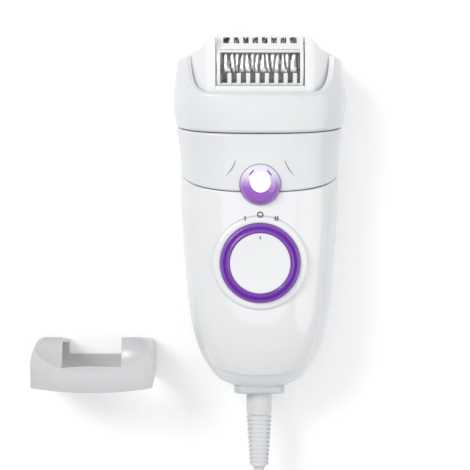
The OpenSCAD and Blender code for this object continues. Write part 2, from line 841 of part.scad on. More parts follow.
// Everything above the cap's top, which slopes down towards the back
module above_cap(inset) {
  translate([0, cap_l - inset, cap_d]) rotate([-10, 0, 0]) block([-30, 0, -50], [30, 20, 10]);
}

module cap() {
  cap_wall = 1.4;
  color("silver") translate([cap_x, cap_y0, 0]) difference() {
    linear_extrude(cap_d) cap_outline(0);
    above_cap(0);
    difference() {
      translate([0, -1, cap_wall]) linear_extrude(cap_d - 2 * cap_wall) cap_outline(cap_wall);
      above_cap(cap_wall);
      cap_scoop(cap_wall);
    }
    cap_scoop(0);
    block([-cap_notch_w / 2, 8.6, -1], [cap_notch_w / 2, cap_l + 1, cap_d + 1]);
  }
}

rear_housing();
front_housing();
screw_posts();
front_panel();
collar();
collar_deck();
end_collar();
dial_bezel();
light_board();
circuit_board();
rotary_switch();
detent_spring();
motor_can();
motor_end_bell();
motor_mount();
motor_leads();
housing_screws();
cord_socket();
socket_pins();
dial_ring();
dial_disc();
dial_hub();
release_button();
light_window();
latch_arm();
button_spring();
motor_shaft();
drive_dog();
head_shell();
head_frame();
head_tray();
head_base();
comb_frame();
roller_bushes();
head_screws();
gear_pins();
input_shaft();
cross_shaft();
crown_gear();
transfer_gear();
idler_gear();
roller_core();
roller_shaft();
roller_gear();
fixed_blades();
left_blades();
right_blades();
left_pressure_wheel();
right_pressure_wheel();
connector_body();
connector_contacts();
strain_reliefs();
cord_lead();
cord_coil();
cord_tail();
cord_tie();
adapter_body();
adapter_cover();
plug_pins();
cap();
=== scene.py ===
"""Corded epilator lying on its back with its cap beside it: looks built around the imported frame."""
import json
import math

import bmesh
import bpy
from mathutils import Matrix, Vector

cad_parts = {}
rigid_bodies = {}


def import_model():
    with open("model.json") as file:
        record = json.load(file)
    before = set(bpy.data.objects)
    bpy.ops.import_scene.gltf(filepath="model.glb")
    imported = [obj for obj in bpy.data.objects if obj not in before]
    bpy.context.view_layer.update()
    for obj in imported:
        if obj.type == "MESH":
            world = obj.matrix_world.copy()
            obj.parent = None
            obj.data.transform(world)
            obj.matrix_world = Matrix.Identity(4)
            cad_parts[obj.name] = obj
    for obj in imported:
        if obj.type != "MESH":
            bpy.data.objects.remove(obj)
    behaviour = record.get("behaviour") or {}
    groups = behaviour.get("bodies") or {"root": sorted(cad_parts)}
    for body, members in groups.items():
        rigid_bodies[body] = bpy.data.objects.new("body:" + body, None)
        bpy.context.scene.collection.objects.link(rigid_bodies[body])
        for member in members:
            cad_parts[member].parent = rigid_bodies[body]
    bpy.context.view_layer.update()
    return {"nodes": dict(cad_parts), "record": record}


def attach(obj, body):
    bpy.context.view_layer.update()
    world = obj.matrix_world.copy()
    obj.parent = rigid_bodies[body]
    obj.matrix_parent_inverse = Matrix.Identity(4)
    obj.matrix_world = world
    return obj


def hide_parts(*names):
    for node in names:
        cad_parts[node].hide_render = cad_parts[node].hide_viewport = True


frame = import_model()

MM = 0.001

# ---- Sizes shared with the CAD part, in millimetres ----
AXIS_Z, ROLLER_Y = 19.0, 50.6
MID_Z, END_Y, POWER, WALL = 17.5, -59.6, 2.6, 1.8
DIAL_Y, DIAL_R, DISC_R, BOSS_R, BEZEL_TOP = -14.8, 13.4, 10.2, 16.0, 37.4
BUTTON_Y, BUTTON_R = 11.6, 6.85
TIP_R, CORE_R, ROD_R = 10.6, 7.4, 6.4
CORD_D, SOCKET_Z = 3.8, 17.0
SEAM, PANEL_T, RUNNING = 0.2, 0.8, 0.05
BEZEL_SEAT, LENS_Y, LENS_R = 35.0, 1.0, 3.3
SEAT_GAP, BUTTON_GAP, END_BORDER = 0.03, 0.15, 12.6
STATIONS = [
    (-59.6, 9.3, 24.5, 9.5), (-57.4, 13.7, 27, 6.5), (-54.6, 16.4, 29.2, 4.2), (-49.3, 19.7, 31.8, 1.6),
    (-43, 22.2, 33.8, 0), (-34, 24.1, 35.3, -1.2), (-22, 25.3, 36, -1.8), (0, 26.8, 36.3, -2),
    (20, 27.3, 36.8, -2), (30, 28.4, 37.5, -2), (38, 29.6, 38, -2), (46, 28.9, 37.6, -2),
    (55, 27.7, 36.4, -1.8)]
LEAD = [
    (0, -89, 17), (0, -94, 17), (0, -99, 16.6), (0.2, -104, 15.6), (0.7, -109, 13.9), (1.6, -114, 11.6),
    (3, -119, 9), (5, -124, 6.5), (7.5, -129, 4.4), (10.4, -134, 3), (13.5, -139, 2.2), (16.5, -144, 1.9),
    (19, -149, 1.9), (20.9, -154, 1.9), (21.8, -159, 2.2), (21.8, -163, 2.5)]
TAIL = [
    (-4, -188.8, 13.9), (-9, -189, 13.6), (-14, -189.8, 12.6), (-19, -190.8, 11), (-24, -191.6, 9),
    (-29, -192, 7), (-34, -192, 5.6), (-38, -192, 5), (-42, -192, 5)]
COIL_X, COIL_Y, COIL_Z, COIL_R = -4, -163, 0.6, 22
ADAPTER_Y = -192

# ---- Materials ----


def material(name, color, rough, metal=0.0, coat=0.0, grain=900, bump=0.04, mottle=0.02, soft=0.0, clear=0.0,
             glow=None, brushed=None, turning=None):
    """Procedural finish: fine grain in the bump, drifting colour and a roughness that varies a little.

    turning = (colour, start, end) turns the colour into another one along Y,
    from start to end in millimetres; the button uses it for a painted glow.
    """
    m = bpy.data.materials.new(name)
    m.use_nodes = True
    nodes, links = m.node_tree.nodes, m.node_tree.links
    shader = nodes["Principled BSDF"]
    shader.inputs["Metallic"].default_value = metal
    shader.inputs["Coat Weight"].default_value = coat
    shader.inputs["Coat Roughness"].default_value = 0.08
    shader.inputs["Subsurface Weight"].default_value = soft
    shader.inputs["Subsurface Scale"].default_value = 0.002
    shader.inputs["Transmission Weight"].default_value = clear
    if glow:
        shader.inputs["Emission Color"].default_value = (*glow[:3], 1)
        shader.inputs["Emission Strength"].default_value = glow[3]
    where = nodes.new("ShaderNodeTexCoord")
    stretch = nodes.new("ShaderNodeMapping")
    stretch.inputs["Scale"].default_value = brushed or (1, 1, 1)
    links.new(where.outputs["Object"], stretch.inputs["Vector"])

    def noise(scale, detail):
        n = nodes.new("ShaderNodeTexNoise")
        n.inputs["Scale"].default_value = scale
        n.inputs["Detail"].default_value = detail
        links.new(stretch.outputs["Vector"], n.inputs["Vector"])
        return n.outputs["Fac"]

    drift = nodes.new("ShaderNodeValToRGB")
    drift.color_ramp.elements[0].position = 0.3
    drift.color_ramp.elements[1].position = 0.7
    for element, k in zip(drift.color_ramp.elements, (1 - mottle, 1 + mottle)):
        element.color = (*[min(c * k, 1.0) for c in color], 1)
    links.new(noise(60, 3), drift.inputs["Fac"])
    tint = drift.outputs["Color"]
    if turning:
        split = nodes.new("ShaderNodeSeparateXYZ")
        links.new(where.outputs["Object"], split.inputs["Vector"])
        along = nodes.new("ShaderNodeMapRange")
        along.interpolation_type = "SMOOTHSTEP"
        along.inputs["From Min"].default_value = turning[1] * MM
        along.inputs["From Max"].default_value = turning[2] * MM
        links.new(split.outputs["Y"], along.inputs["Value"])
        mix = nodes.new("ShaderNodeMix")
        mix.data_type = "RGBA"
        links.new(along.outputs["Result"], mix.inputs["Factor"])
        links.new(tint, mix.inputs["A"])
        mix.inputs["B"].default_value = (*turning[0], 1)
        tint = mix.outputs["Result"]
    links.new(tint, shader.inputs["Base Color"])
    spread = nodes.new("ShaderNodeMapRange")
    spread.inputs["To Min"].default_value = max(rough - 0.05, 0.02)
    spread.inputs["To Max"].default_value = rough + 0.06
    links.new(noise(260, 2), spread.inputs["Value"])
    links.new(spread.outputs["Result"], shader.inputs["Roughness"])
    rise = nodes.new("ShaderNodeBump")
    rise.inputs["Strength"].default_value = bump
    rise.inputs["Distance"].default_value = 0.0003
    links.new(noise(grain, 4), rise.inputs["Height"])
    links.new(rise.outputs["Normal"], shader.inputs["Normal"])
    return m


FINISH = {
    "shell_white": material("shell_white", (0.76, 0.77, 0.768), 0.32, coat=0.35, soft=0.08),
    "panel_white": material("panel_white", (0.82, 0.826, 0.823), 0.18, coat=0.8, bump=0.015, mottle=0.008),
    "grip_white": material("grip_white", (0.79, 0.80, 0.797), 0.3, coat=0.3, soft=0.15),
    "bezel_clear": material("bezel_clear", (0.77, 0.785, 0.785), 0.1, coat=0.8, soft=0.1, clear=0.35),
    "comb_white": material("comb_white", (0.85, 0.855, 0.85), 0.35, coat=0.2),
    "dial_purple": material("dial_purple", (0.19, 0.034, 0.42), 0.3, coat=0.45, grain=1600, bump=0.08,
                            mottle=0.06),
    "dial_white": material("dial_white", (0.79, 0.80, 0.797), 0.2, coat=0.7, bump=0.015, mottle=0.01),
    # The dome's purple pales to lilac towards the light window: painted glow of the light spreading through
    # the dome.
    "button_purple": material("button_purple", (0.36, 0.127, 0.56), 0.16, coat=0.9, soft=0.2, bump=0.01,
                              turning=((0.86, 0.83, 0.97), BUTTON_Y - 1.6, BUTTON_Y + 4.6)),
    "light_white": material("light_white", (0.97, 0.95, 1.0), 0.2, coat=0.6, glow=(1.0, 0.98, 1.0, 1.6)),
    "blade_steel": material("blade_steel", (0.60, 0.60, 0.605), 0.3, metal=1.0, grain=1500, bump=0.06,
                            mottle=0.08, brushed=(1, 9, 1)),
    "steel": material("steel", (0.62, 0.63, 0.65), 0.26, metal=1.0, mottle=0.08, brushed=(7, 1, 1)),
    "brass": material("brass", (0.76, 0.56, 0.26), 0.25, metal=1.0, mottle=0.08),
    "gear_acetal": material("gear_acetal", (0.83, 0.8, 0.7), 0.42, soft=0.1, mottle=0.04),
    "inner_grey": material("inner_grey", (0.44, 0.445, 0.45), 0.45, mottle=0.06, bump=0.12),
    "dark_plastic": material("dark_plastic", (0.05, 0.05, 0.055), 0.45, mottle=0.15, bump=0.12),
    "board_green": material("board_green", (0.03, 0.2, 0.1), 0.32, coat=0.4, mottle=0.2),
    "wire_red": material("wire_red", (0.5, 0.05, 0.05), 0.45, mottle=0.08),
    "wheel_acetal": material("wheel_acetal", (0.8, 0.45, 0.13), 0.4, mottle=0.05),
    "cord_grey": material("cord_grey", (0.71, 0.71, 0.71), 0.42, grain=700, bump=0.08, mottle=0.03,
                          soft=0.05),
    "tie_grey": material("tie_grey", (0.14, 0.14, 0.15), 0.85, grain=1400, bump=0.6, mottle=0.25),
    "adapter_white": material("adapter_white", (0.72, 0.725, 0.73), 0.5, grain=1300, bump=0.25, mottle=0.02),
    "cap_grey": material("cap_grey", (0.59, 0.592, 0.592), 0.3, coat=0.35, mottle=0.02, soft=0.05),
}
# Dark grey for the printed marks; also used as painted shade on the collar creases.
INK_AND_SHADE = material("mark_grey", (0.11, 0.11, 0.12), 0.5, mottle=0.1)

# ---- Mesh tools: every shape is (points, faces) in millimetres ----


def box(low, high):
    pts = [(x, y, z) for x in (low[0], high[0]) for y in (low[1], high[1]) for z in (low[2], high[2])]
    return pts, [(0, 1, 3, 2), (4, 6, 7, 5), (0, 4, 5, 1), (2, 3, 7, 6), (0, 2, 6, 4), (1, 5, 7, 3)]


def prism(outline, z0, z1):
    n = len(outline)
    pts = [(x, y, z) for z in (z0, z1) for x, y in outline]
    sides = [(i, (i + 1) % n, (i + 1) % n + n, i + n) for i in range(n)]
    return pts, [tuple(range(n))[::-1], tuple(range(n, 2 * n))] + sides


def lathe(profile, segments=128, ribs=None):
    """Closed (radius, height) profile turned about +Z.

    ribs = (count, depth, least radius) flutes the outside.
    """
    n, pts = len(profile), []
    for j in range(segments):
        a = math.tau * j / segments
        for r, z in profile:
            if ribs and r >= ribs[2]:
                r -= ribs[1] * (0.5 + 0.5 * math.cos(ribs[0] * a))
            pts.append((r * math.cos(a), r * math.sin(a), z))
    faces = [(j * n + i, (j + 1) % segments * n + i, (j + 1) % segments * n + (i + 1) % n,
              j * n + (i + 1) % n)
             for j in range(segments) for i in range(n)]
    return pts, faces


def rod(r, low, high, segments=48):
    return lathe([(0, low), (r, low), (r, high), (0, high)], segments)


def along_y(x=0.0, z=AXIS_Z):
    """Turns +Z of a lathe into +Y."""
    return Matrix.Translation((x, 0, z)) @ Matrix.Rotation(-math.pi / 2, 4, "X")


def along_x(y=ROLLER_Y, z=AXIS_Z):
    return Matrix.Translation((0, y, z)) @ Matrix.Rotation(math.pi / 2, 4, "Y")


def rounded_rect(w, h, r, steps=8):
    out = []
    for k, (sx, sy) in enumerate(((1, 1), (-1, 1), (-1, -1), (1, -1))):
        for i in range(steps + 1):
            a = math.pi / 2 * (k + i / steps)
            out.append((sx * (w / 2 - r) + r * math.cos(a), sy * (h / 2 - r) + r * math.sin(a)))
    return out


def make(name, *shapes, angle=35.0):
    """Mesh object from shapes, each (points, faces) or ((points, faces), matrix)."""
    bm = bmesh.new()
    for shape in shapes:
        (pts, faces), place = shape if isinstance(shape[1], Matrix) else (shape, Matrix.Identity(4))
        verts = [bm.verts.new(place @ Vector(p) * MM) for p in pts]
        for f in faces:
            bm.faces.new([verts[i] for i in f])
    bmesh.ops.remove_doubles(bm, verts=bm.verts, dist=1e-7)
    bmesh.ops.dissolve_degenerate(bm, edges=bm.edges, dist=1e-8)
    bmesh.ops.recalc_face_normals(bm, faces=bm.faces)
    me = bpy.data.meshes.new(name)
    bm.to_mesh(me)
    bm.free()
    obj = bpy.data.objects.new(name, me)
    bpy.context.scene.collection.objects.link(obj)
    return smooth(obj, angle)


def smooth(obj, angle=35.0):
    obj.data.shade_smooth()
    obj.data.set_sharp_from_angle(angle=math.radians(angle))
    return obj


def bake(obj, angle=35.0):
    graph = bpy.context.evaluated_depsgraph_get()
    me = bpy.data.meshes.new_from_object(obj.evaluated_get(graph))
    obj.modifiers.clear()
    obj.data = me
    return smooth(obj, angle)


def bevel(obj, width, segments=3, limit=30.0, angle=35.0):
    m = obj.modifiers.new("bevel", "BEVEL")
    m.width, m.segments, m.limit_method, m.angle_limit = width * MM, segments, "ANGLE", math.radians(limit)
    return bake(obj, angle)


def cut(obj, *shapes, angle=35.0):
    """Takes shapes away from obj."""
    for i, shape in enumerate(shapes):
        tool = make(f"{obj.name}_tool{i}", shape)
        m = obj.modifiers.new("cut", "BOOLEAN")
        m.operation, m.solver, m.object = "DIFFERENCE", "EXACT", tool
    bake(obj, angle)
    for o in [o for o in bpy.data.objects if o.name.startswith(obj.name + "_tool")]:
        bpy.data.objects.remove(o)
    return obj


def place(obj, body, slot, *nodes):
    """Gives obj its finish and its body, and hides the CAD nodes it stands for."""
    obj.data.materials.clear()
    obj.data.materials.append(FINISH.get(slot, INK_AND_SHADE))
    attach(obj, body)
    if nodes:
        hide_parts(*nodes)
    return obj


# ---- Camera ----
camera = bpy.data.objects.new("camera", bpy.data.cameras.new("camera"))
bpy.context.scene.collection.objects.link(camera)
camera.location = Vector((-8.45, 50.2, 614.2)) * MM
camera.rotation_euler = (math.radians(-5.5), 0, 0)
camera.data.lens = 132.4
camera.data.sensor_width = 36
camera.data.clip_start = 0.02
camera.data.clip_end = 20
bpy.context.scene.camera = camera

# ---- Cord ----


def blend01(u):
    u = min(max(u, 0.0), 1.0)
    return 0.5 - 0.5 * math.cos(math.pi * u)


def spline_points(route, steps=6):
    """Catmull-Rom curve through route."""
    pts = [Vector(p) for p in route]
    out = []
    for i in range(len(pts) - 1):
        a, b, c, d = pts[max(i - 1, 0)], pts[i], pts[i + 1], pts[min(i + 2, len(pts) - 1)]
        for k in range(steps):
            u = k / steps
            out.append(b + (c - a) * u / 2 + (a * 2 - b * 5 + c * 4 - d) * u * u / 2
                       + (b * 3 - a - c * 3 + d) * u ** 3 / 2)
    return out + [pts[-1]]


def coil_points(turns=11.25, per_turn=48):
    """Wound clockwise from the outside of the lowest layer.

    Each crossing to the next place starts 30 degrees earlier.
    """
    cells = [(COIL_R + CORD_D * (1 - c), r) for r in range(4)
             for c in ((0, 1, 2) if r % 2 == 0 else (2, 1, 0))]
    window = [0, 0, 1, 2, 2, 3, 4, 4, 5, 6, 6, 6]
    out = []
    for s in range(1, int(turns * per_turn)):
        turn, u = divmod(s / per_turn, 1.0)
        k = int(turn)
        f = blend01((u * 360 - (270 - 30 * window[k])) / 90) if k < 11 else 0.0
        (r0, z0), (r1, z1) = cells[k], cells[min(k + 1, 11)]
        r, layer = r0 + (r1 - r0) * f, z0 + (z1 - z0) * f
        a = -math.tau * u
        out.append(Vector((COIL_X + r * math.cos(a), COIL_Y + r * math.sin(a),
                           COIL_Z + CORD_D * (layer + 0.5))))
    return out


cord_line = spline_points(LEAD) + coil_points() + spline_points(TAIL)
curve = bpy.data.curves.new("cord", "CURVE")
curve.dimensions = "3D"
curve.bevel_depth = CORD_D / 2 * MM
curve.bevel_resolution = 4
curve.use_fill_caps = True
line = curve.splines.new("POLY")
line.points.add(len(cord_line) - 1)
for point, p in zip(line.points, cord_line):
    point.co = (*(p * MM), 1)
line.use_smooth = True
cord = bpy.data.objects.new("cord", curve)
bpy.context.scene.collection.objects.link(cord)
place(cord, "cord_set", "cord_grey", "cord_lead", "cord_coil", "cord_tail")
cord_length = sum((b - a).length for a, b in zip(cord_line, cord_line[1:])) * MM
print("cord length", round(cord_length, 4))

# ---- Housing shells: the same curves as the CAD shells, on a finer grid ----


def slope(i, k):
    a, b = max(i - 1, 0), min(i + 1, len(STATIONS) - 1)
    return (STATIONS[b][k] - STATIONS[a][k]) / (STATIONS[b][0] - STATIONS[a][0])


def housing(y, k):
    i = 0
    while i < len(STATIONS) - 2 and y >= STATIONS[i + 1][0]:
        i += 1
    a, b = STATIONS[i], STATIONS[i + 1]
    step = b[0] - a[0]
    u = (y - a[0]) / step
    return (a[k] * (1 + 2 * u) * (1 - u) ** 2 + b[k] * u * u * (3 - 2 * u)
            + step * (slope(i, k) * u * (1 - u) ** 2 - slope(i + 1, k) * u * u * (1 - u)))


def rounded(v):
    return math.copysign(abs(v) ** (2 / POWER), v)


def skin(a, y, out=0.0, lift=0.0):
    w, top, bottom = housing(y, 1) + out, housing(y, 2) + out + lift, housing(y, 3) - out
    s, c = math.sin(math.radians(a)), math.cos(math.radians(a))
    z = MID_Z + rounded(s) * (MID_Z - bottom if 180 < a < 360 else top - MID_Z)
    return Vector((w * rounded(c), y, max(z, -min(out, 0.0))))


def fade(a):
    return abs(math.sin(math.radians(a))) ** 0.8


def lower_seam(a):
    return 15.6 - 6.4 * fade(a)


def upper_seam(a):
    return 30.4 - 1.9 * fade(a)


def scoop(a):
    s = abs(math.sin(math.radians(a)))
    return 53 + 3 * min(s, 0.5) - 12.4 * (1 - (1 - max(2 * s - 1, 0.0)) ** 3.5)


def panel_low(a):
    return -54.4 + 5 * math.cos(math.radians(a)) ** 2


def shell(name, a0, a1, columns, rows, low, high, out, thick, lift=lambda a: 0.0, edge=0.5, side_edge=0.0):
    """Closed wall like the CAD's, with its outer edges rounded to radius edge."""
    full = a1 - a0 >= 360
    fine = [edge * (1 - math.cos(math.pi / 2 * k / 5)) for k in range(1, 6)]
    side_fine = [side_edge * (1 - math.cos(math.pi / 2 * k / 4)) for k in range(1, 5)] if side_edge else []
    per_degree = math.radians(1) * 30
    angles = [a0 + (a1 - a0) * j / columns for j in range(columns + (0 if full else 1))]
    if side_edge:
        extra = [d / per_degree for d in side_fine]
        angles = sorted(set(angles) | {a0 + e for e in extra} | {a1 - e for e in extra})

    def inset(d, r):
        return 0.0 if d >= r or r <= 0 else r - math.sqrt(max(r * r - (r - d) ** 2, 0.0))

    pts, n = [], len(angles)
    levels = ([0.0] + [("low", f) for f in fine] + [i / rows for i in range(1, rows)]
              + [("high", f) for f in fine[::-1]] + [1.0])
    for inner in (0, 1):
        for t in levels:
            for a in angles:
                y0, y1 = low(a), high(a)
                if isinstance(t, tuple):
                    y = y0 + t[1] if t[0] == "low" else y1 - t[1]
                else:
                    y = y0 + (y1 - y0) * (0.02 + 0.96 * t if 0 < t < 1 else t)
                drop = max(inset(min(y - y0, y1 - y), edge),
                           inset(min(a - a0, a1 - a) * per_degree, side_edge) if side_edge else 0.0)
                pts.append(skin(a, y, out - (thick if inner else drop), lift(a) if callable(lift) else lift))
    m = len(levels) * n
    span = n if full else n - 1
    faces = []
    for i in range(len(levels) - 1):
        for j in range(span):
            p, q = i * n + j, i * n + (j + 1) % n
            faces += [(p, p + n, q + n, q), (m + p, m + q, m + q + n, m + p + n)]
    for base in (0, (len(levels) - 1) * n):
        faces += [(base + j, base + (j + 1) % n, m + base + (j + 1) % n, m + base + j) for j in range(span)]
    if not full:
        for j in (0, n - 1):
            faces += [(i * n + j, m + i * n + j, m + (i + 1) * n + j, (i + 1) * n + j)
                      for i in range(len(levels) - 1)]
    return make(name, (pts, faces), angle=40)


DIAL_HOLE = rod(BOSS_R - 2, 26, 46, 96), Matrix.Translation((0, DIAL_Y, 0))
DIAL_SEAT = rod(BOSS_R + SEAT_GAP, BEZEL_SEAT - RUNNING, 46, 160), Matrix.Translation((0, DIAL_Y, 0))
BUTTON_HOLE = rod(BUTTON_R + BUTTON_GAP, 26, 46, 160), Matrix.Translation((0, BUTTON_Y, 0))


def up_to_seam(a):
    return lower_seam(a) - SEAM


def grip_end(a):
    return END_Y


rear = shell("rear_grip", 180, 360, 96, 70, grip_end, up_to_seam, 0, WALL, edge=0.4)
cut(rear, *[(rod(2.5, -1, 7), Matrix.Translation((s * x, y, 0)))
            for s in (-1, 1) for x, y in ((11, -49), (19.4, 4))])
place(rear, "handle", "shell_white", "rear_housing")
front = shell("front_grip", 0, 180, 96, 70, grip_end, up_to_seam, 0, WALL, edge=0.4)
place(cut(front, DIAL_HOLE, DIAL_SEAT, BUTTON_HOLE), "handle", "grip_white", "front_housing")
panel = shell("front_panel_gloss", 37, 143, 90, 80, panel_low, up_to_seam, PANEL_T + 0.05, PANEL_T,
              edge=0.35, side_edge=0.5)
place(cut(panel, DIAL_HOLE, DIAL_SEAT, BUTTON_HOLE), "handle", "panel_white", "front_panel")
collar = shell("collar_band", 0, 360, 200, 24, lower_seam, upper_seam, 0.01, WALL - 0.2,
               lift=lambda a: 1.0 * min(1.0, max(0.0, math.sin(math.radians(a))) * 6), edge=0.7)
place(cut(collar, BUTTON_HOLE), "handle", "shell_white", "collar")
head = shell("head_body", 0, 360, 360, 40, lambda a: upper_seam(a) + 0.25, scoop, 0, WALL, edge=1.0)
place(head, "head", "shell_white", "head_shell")

def crease(side, steps=14, thick=0.34, high=0.24):
    """Thin ridge on the collar that runs from beside the button up and outwards, tapering at both ends."""
    rows = []
    for i in range(steps + 1):
        u = i / steps
        x, y = side * (11.5 - 3.4 * u - 0.5 * math.sin(math.pi * u)), 14.4 + 5.7 * u
        w = 0.5 * thick * math.sin(math.pi * min(max(u, 0.03), 0.97)) ** 0.6
        a = math.degrees(math.acos(min(1.0, (x / side / (housing(y, 1) + 0.01)) ** (POWER / 2))))
        z = skin(a, y, 0.01, 1.0).z
        rows.append([(x - w, y, z - 0.4), (x - w * 0.7, y, z + high * w / thick),
                     (x, y, z + 2 * high * w / thick),
                     (x + w * 0.7, y, z + high * w / thick), (x + w, y, z - 0.4)])
    pts = [p for row in rows for p in row]
    faces = [(5 * i + j, 5 * i + (j + 1) % 5, 5 * i + 5 + (j + 1) % 5, 5 * i + 5 + j)
             for i in range(steps) for j in range(5)]
    return pts, faces + [(4, 3, 2, 1, 0), tuple(5 * steps + j for j in range(5))]


# The crease ridges take the dark mark grey: painted shade lines standing in for the shading of the creases.
place(make("collar_creases", crease(-1), crease(1)), "handle", "mark")

# ---- Lower end: clear collar, connector and strain relief ----
end_ring = make("end_ring",
                (prism(rounded_rect(17.6, 15, 3), -61.8, -59.2), along_y(0, SOCKET_Z)))
bevel(end_ring, 0.35)
cut(end_ring, (rod(4.7, -64, -58), along_y(0, SOCKET_Z)),
    *[(rod(0.5, -62.9, -59, 16), along_y(x, SOCKET_Z + 5.1)) for x in (-4.6, -2.9, -1.2, 1.4, 3.2, 5)])
place(end_ring, "handle", "bezel_clear", "end_collar")

barrel = make("plug_barrel", (lathe([
    (0, -70), (4.2, -70), (4.35, -69.9), (4.4, -69.7), (4.4, -52.4),
    (4.1, -52), (0, -52)]), along_y(0, SOCKET_Z)))
cut(barrel, *[(rod(1.1, -62, -51, 24), along_y(s * 1.9, SOCKET_Z)) for s in (-1, 1)])
place(barrel, "cord_set", "cord_grey", "connector_body")


def ribbed(count, step, first, r, taper, end, cord_r):
    """Strain relief along -Y: a tapered core with rings, and links between the rings on alternate sides."""
    parts = [lathe([(0, end), (cord_r + 0.4, end), (cord_r + 0.65, end + 0.3), (r - 0.5, first + 0.9),
                    (0, first + 0.9)], 64)]
    for i in range(count):
        y, q = first - i * step, r - i * taper
        parts.append(lathe([(0, y - 0.95), (q - 0.3, y - 0.95), (q - 0.07, y - 0.85), (q, y - 0.65),
                            (q, y - 0.3),
                            (q - 0.07, y - 0.1), (q - 0.3, y), (0, y)], 64))
        for s in (-1, 1):
            turn = Matrix.Rotation(math.pi / 2 * s, 4, "Z")
            outline = [(q - 1.6, -2.5), (q - 0.95, -2.5), (q - 0.45, -1.7), (q - 0.18, -0.8), (q - 0.12, 0),
                       (q - 0.18, 0.8), (q - 0.45, 1.7), (q - 0.95, 2.5), (q - 1.6, 2.5)]
            points, faces = prism(outline, y - 0.1, y + step - 0.9)
            parts.append(([tuple(turn @ Vector(p)) for p in points], faces))
    return parts


place(make("cord_relief", *[(p, along_y(0, SOCKET_Z)) for p in ribbed(12, 1.5, -70.9, 4.4, 0.095, -89, 1.9)]),
      "cord_set", "cord_grey", "strain_reliefs")
at_adapter = Matrix.Translation((-50, ADAPTER_Y, 5)) @ Matrix.Rotation(math.pi / 2, 4, "Y")
adapter_relief = make("adapter_sleeve", (lathe([
    (0, 0), (3.55, 0), (3.6, 0.2), (3.5, 1.3), (3.05, 1.45), (3.0, 1.9), (3.35, 2.1), (3.25, 3.2),
    (2.85, 3.35),
    (2.8, 3.8), (3.1, 4.0), (3.0, 5.1), (2.65, 5.25), (2.6, 5.7), (2.85, 5.9), (2.75, 7.0), (2.5, 7.8),
    (2.3, 8), (0, 8)], 64), at_adapter))
place(adapter_relief, "cord_set", "cord_grey")

# ---- Dial ----
at_dial = Matrix.Translation((0, DIAL_Y, 0))
bezel = make("dial_seat", (lathe([
    (DIAL_R - 1.6, 33), (BOSS_R - 2.1, 33), (BOSS_R - 2.1, BEZEL_SEAT), (BOSS_R, BEZEL_SEAT), (BOSS_R, 36.3),
    (BOSS_R - 0.06, 36.75), (BOSS_R - 0.25, 37.05), (BOSS_R - 0.6, 37.28), (BOSS_R - 1.1, BEZEL_TOP),
    (DIAL_R + 0.35, BEZEL_TOP), (DIAL_R + 0.18, BEZEL_TOP - 0.06), (DIAL_R + 0.1, BEZEL_TOP - 0.2),
    (DIAL_R + 0.1, BEZEL_TOP - 1), (DIAL_R - 1.6, BEZEL_TOP - 1)], 192), at_dial))
place(bezel, "handle", "panel_white", "dial_bezel")
ring = make("dial_ring_fluted", (lathe([
    (DISC_R + 0.12, 36.6), (13.3, 36.6), (13.4, 36.8), (13.4, 38.2), (13.32, 38.6), (13.1, 38.95),
    (12.8, 39.12),
    (12.5, 39.1), (12.32, 38.9), (12.22, 38.55), (12.1, 38.35), (11.95, 38.4), (11.8, 38.7), (11.55, 38.98),
    (11.25, 39.18), (10.95, 39.3), (10.7, 39.32), (10.5, 39.2), (10.4, 38.95), (10.36, 38.5), (10.3, 38.3),
    (DISC_R + 0.12, 38.3)], 480, ribs=(96, 0.14, 13.2)), at_dial))
place(ring, "dial", "dial_purple", "dial_ring")
disc = make("dial_face", (lathe([
    (0, 36.6), (DISC_R + 0.1, 36.6), (DISC_R + 0.1, 38.45), (DISC_R - 0.05, 38.75), (DISC_R - 0.4, 38.88),
    (DISC_R - 0.9, 38.84), (8, 38.66), (5.5, 38.46), (3, 38.34), (0, 38.3)], 192), at_dial))
place(cut(disc, box((-0.2, DIAL_Y + 8.1, 38.3), (0.2, DIAL_Y + 9.2, 40))), "dial", "dial_white", "dial_disc")
place(make("dial_index", box((-0.17, DIAL_Y + 8.15, 38.3), (0.17, DIAL_Y + 9.15, 38.62))), "dial", "mark")


MARK_TOP = BEZEL_TOP + 0.05
circle = lathe([(0.68, 36.8), (1.05, 36.8), (1.05, MARK_TOP - 0.03), (1.02, MARK_TOP), (0.71, MARK_TOP),
                (0.68, MARK_TOP - 0.03)], 48)
bar = box((-0.17, -0.8, 36.8), (0.17, 0.8, MARK_TOP))
place(make("position_marks", *[(shape, Matrix.Translation((x, y, 0))) for shape, x, y in (
    (circle, 0, 1.5), (bar, -5.09, 0.2), (bar, 5.03, 0.2), (bar, 5.85, 0.2))]), "handle", "mark")

# ---- Release button and light ----
dome = [(BUTTON_R * math.cos(math.radians(a)), 37.6 + 4.2 * math.sin(math.radians(a)))
        for a in range(0, 90, 5)]
inside = [((BUTTON_R - 1.3) * math.cos(math.radians(a)), 37.2 + 3 * math.sin(math.radians(a)))
          for a in range(85, -1, -10)]
button = make("button_dome", (lathe(dome + [(0, 41.8), (0, 40.2)] + inside
                                    + [(BUTTON_R - 1.3, 33.6), (BUTTON_R, 33.6)], 160),
                              Matrix.Translation((0, BUTTON_Y, 0))))
at_lens = Matrix.Translation((0, BUTTON_Y + LENS_Y, 0))
cut(button, (rod(LENS_R, 30, 50, 96), at_lens))
place(button, "button", "button_purple", "release_button")
window = make("light_lens", (lathe([
    (0, 36.2), (3.25, 36.2), (3.25, 40.4), (3.1, 40.8), (2.7, 41.25), (2.1, 41.6), (1.2, 41.83), (0, 41.9)],
    96), at_lens))
place(window, "button", "light_white", "light_window")


def on_dome(x, y, depth=0.0):
    """Point of the button's dome, x and y from its middle, sunk by depth."""
    flat = math.hypot(x, y)
    return Vector((x, BUTTON_Y + y, 37.6 + 4.2 * math.sqrt(1 - (flat / BUTTON_R) ** 2) - depth))


